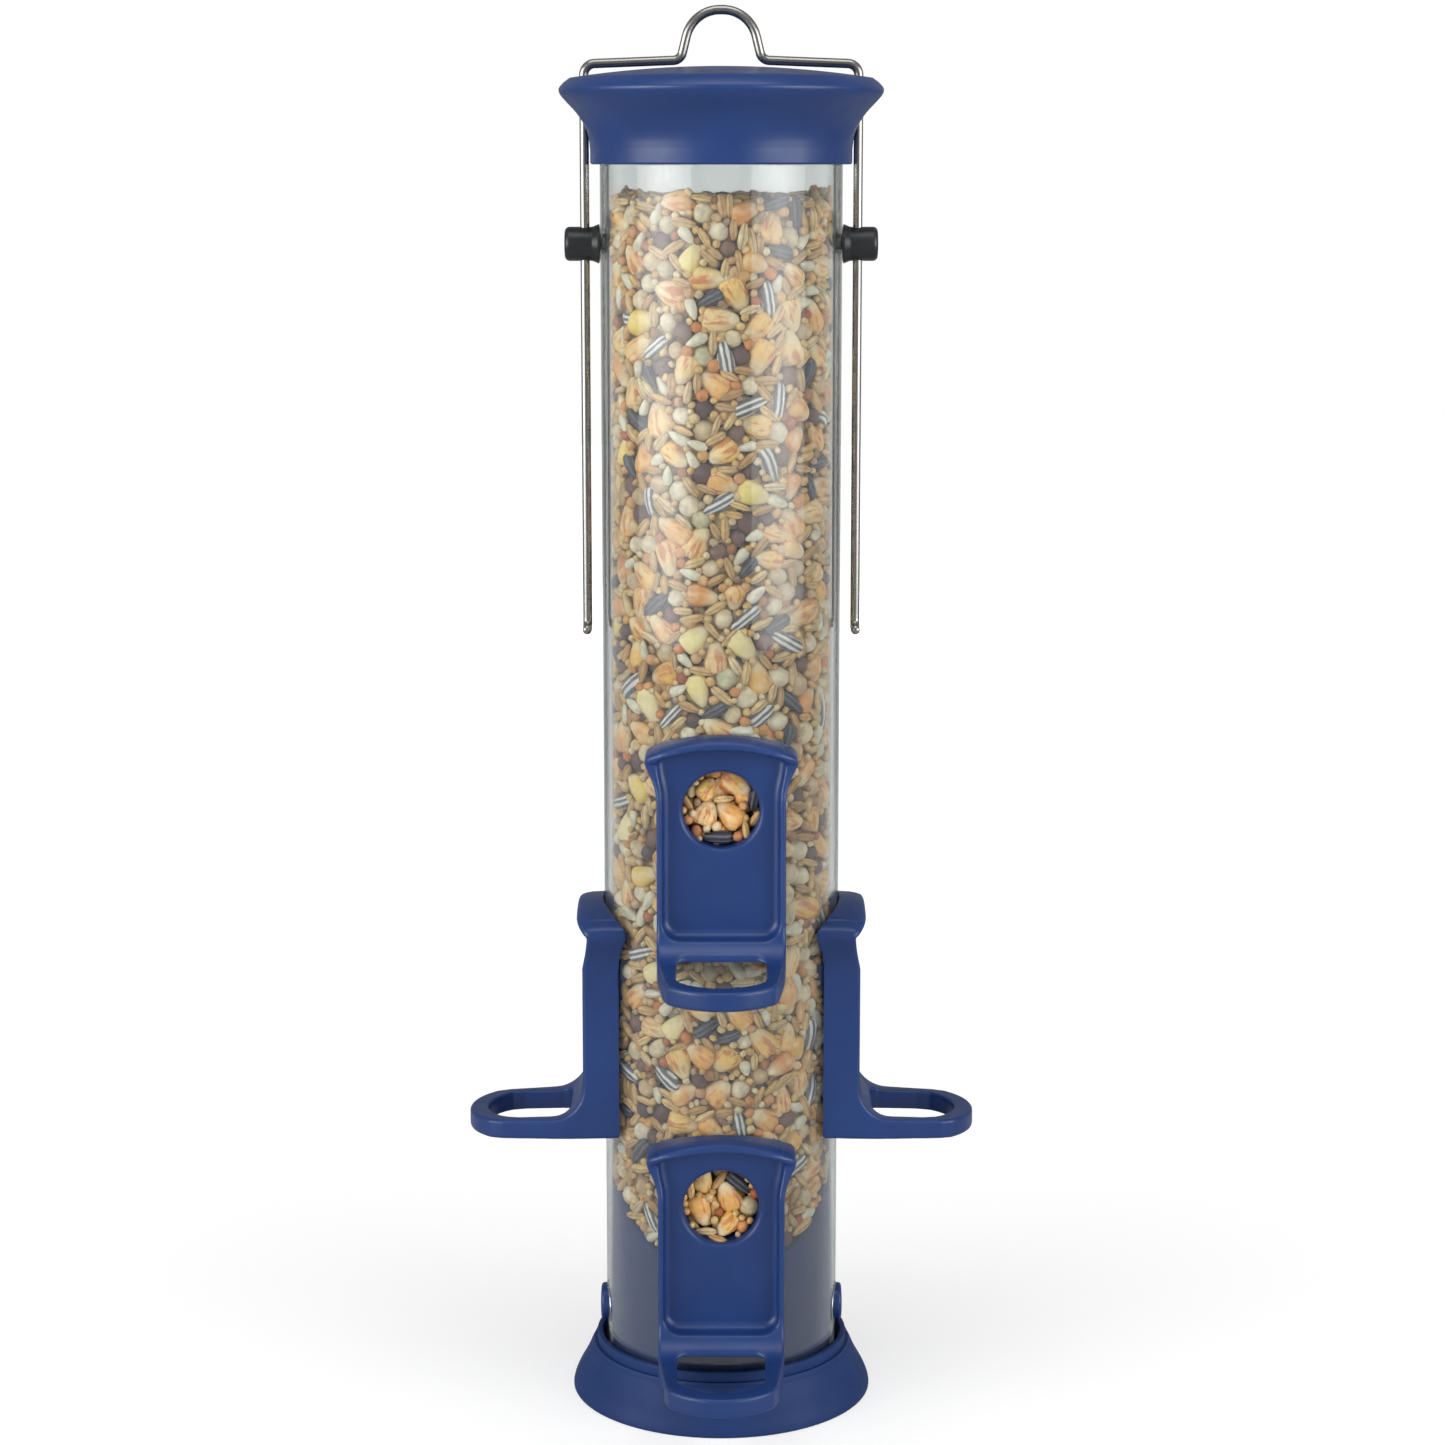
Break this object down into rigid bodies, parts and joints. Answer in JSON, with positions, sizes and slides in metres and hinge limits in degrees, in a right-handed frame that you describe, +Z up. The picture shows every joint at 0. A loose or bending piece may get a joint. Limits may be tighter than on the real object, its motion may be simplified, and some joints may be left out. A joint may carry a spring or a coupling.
{
  "type": "tube bird feeder",
  "caption": "Clear tube bird feeder with hooded feeding ports and loop perches, a flared cap that slides up a wire bail, and a drop-out base with spring latches.",
  "frame": {"origin": "on the tube's axis, at the underside of the foot", "axes": "+Z up along the tube, -Y towards the front port, +X to the right seen from the front"},
  "size_m": [0.1414, 0.1414, 0.3846],
  "materials": {
    "clear_plastic": "clear extruded tube, polished",
    "blue_plastic": "moulded, fine satin",
    "black_plastic": "moulded, satin",
    "steel_wire": "drawn stainless steel, lightly brushed along the wire",
    "screw_steel": "zinc-plated steel"
  },
  "bodies": {
    "feeder": {"tube": "clear_plastic", "wire_guide_left": "black_plastic", "wire_guide_right": "black_plastic", "guide_retainer_left": "steel_wire", "guide_retainer_right": "steel_wire", "port_upper_front": "blue_plastic", "port_upper_back": "blue_plastic", "port_middle_left": "blue_plastic", "port_middle_right": "blue_plastic", "port_lower_front": "blue_plastic", "port_lower_back": "blue_plastic", "baffle_upper_front": "blue_plastic", "baffle_upper_back": "blue_plastic", "baffle_middle_left": "blue_plastic", "baffle_middle_right": "blue_plastic", "baffle_lower_front": "blue_plastic", "baffle_lower_back": "blue_plastic"},
    "cap": {"cap": "blue_plastic"},
    "bail": {"hanger_bail": "steel_wire"},
    "base": {"base_foot": "blue_plastic", "seed_deflector": "blue_plastic", "base_screw": "screw_steel"},
    "latch_left": {"latch_arm_left": "blue_plastic"},
    "latch_right": {"latch_arm_right": "blue_plastic"}
  },
  "joints": [
    {"name": "cap_lift", "type": "slide", "parent": "feeder", "child": "cap", "axis": [0, 0, 1], "range_m": [0, 0.04]},
    {"name": "bail_lift", "type": "slide", "parent": "cap", "child": "bail", "axis": [0, 0, 1], "range_m": [0, 0.058]},
    {"name": "base_drop", "type": "slide", "parent": "feeder", "child": "base", "axis": [0, 0, -1], "range_m": [0, 0.07], "deforming": ["latch_arm_left", "latch_arm_right"]},
    {"name": "latch_right_flex", "type": "hinge", "parent": "base", "child": "latch_right", "pos_m": [0.02624, 0, 0.0058], "axis": [0, -1, 0], "range_deg": [0, 15], "stiffness_Nm_per_rad": 0.05},
    {"name": "latch_left_flex", "type": "hinge", "parent": "base", "child": "latch_left", "pos_m": [-0.02624, 0, 0.0058], "axis": [0, 1, 0], "range_deg": [0, 15], "stiffness_Nm_per_rad": 0.05}
  ]
}
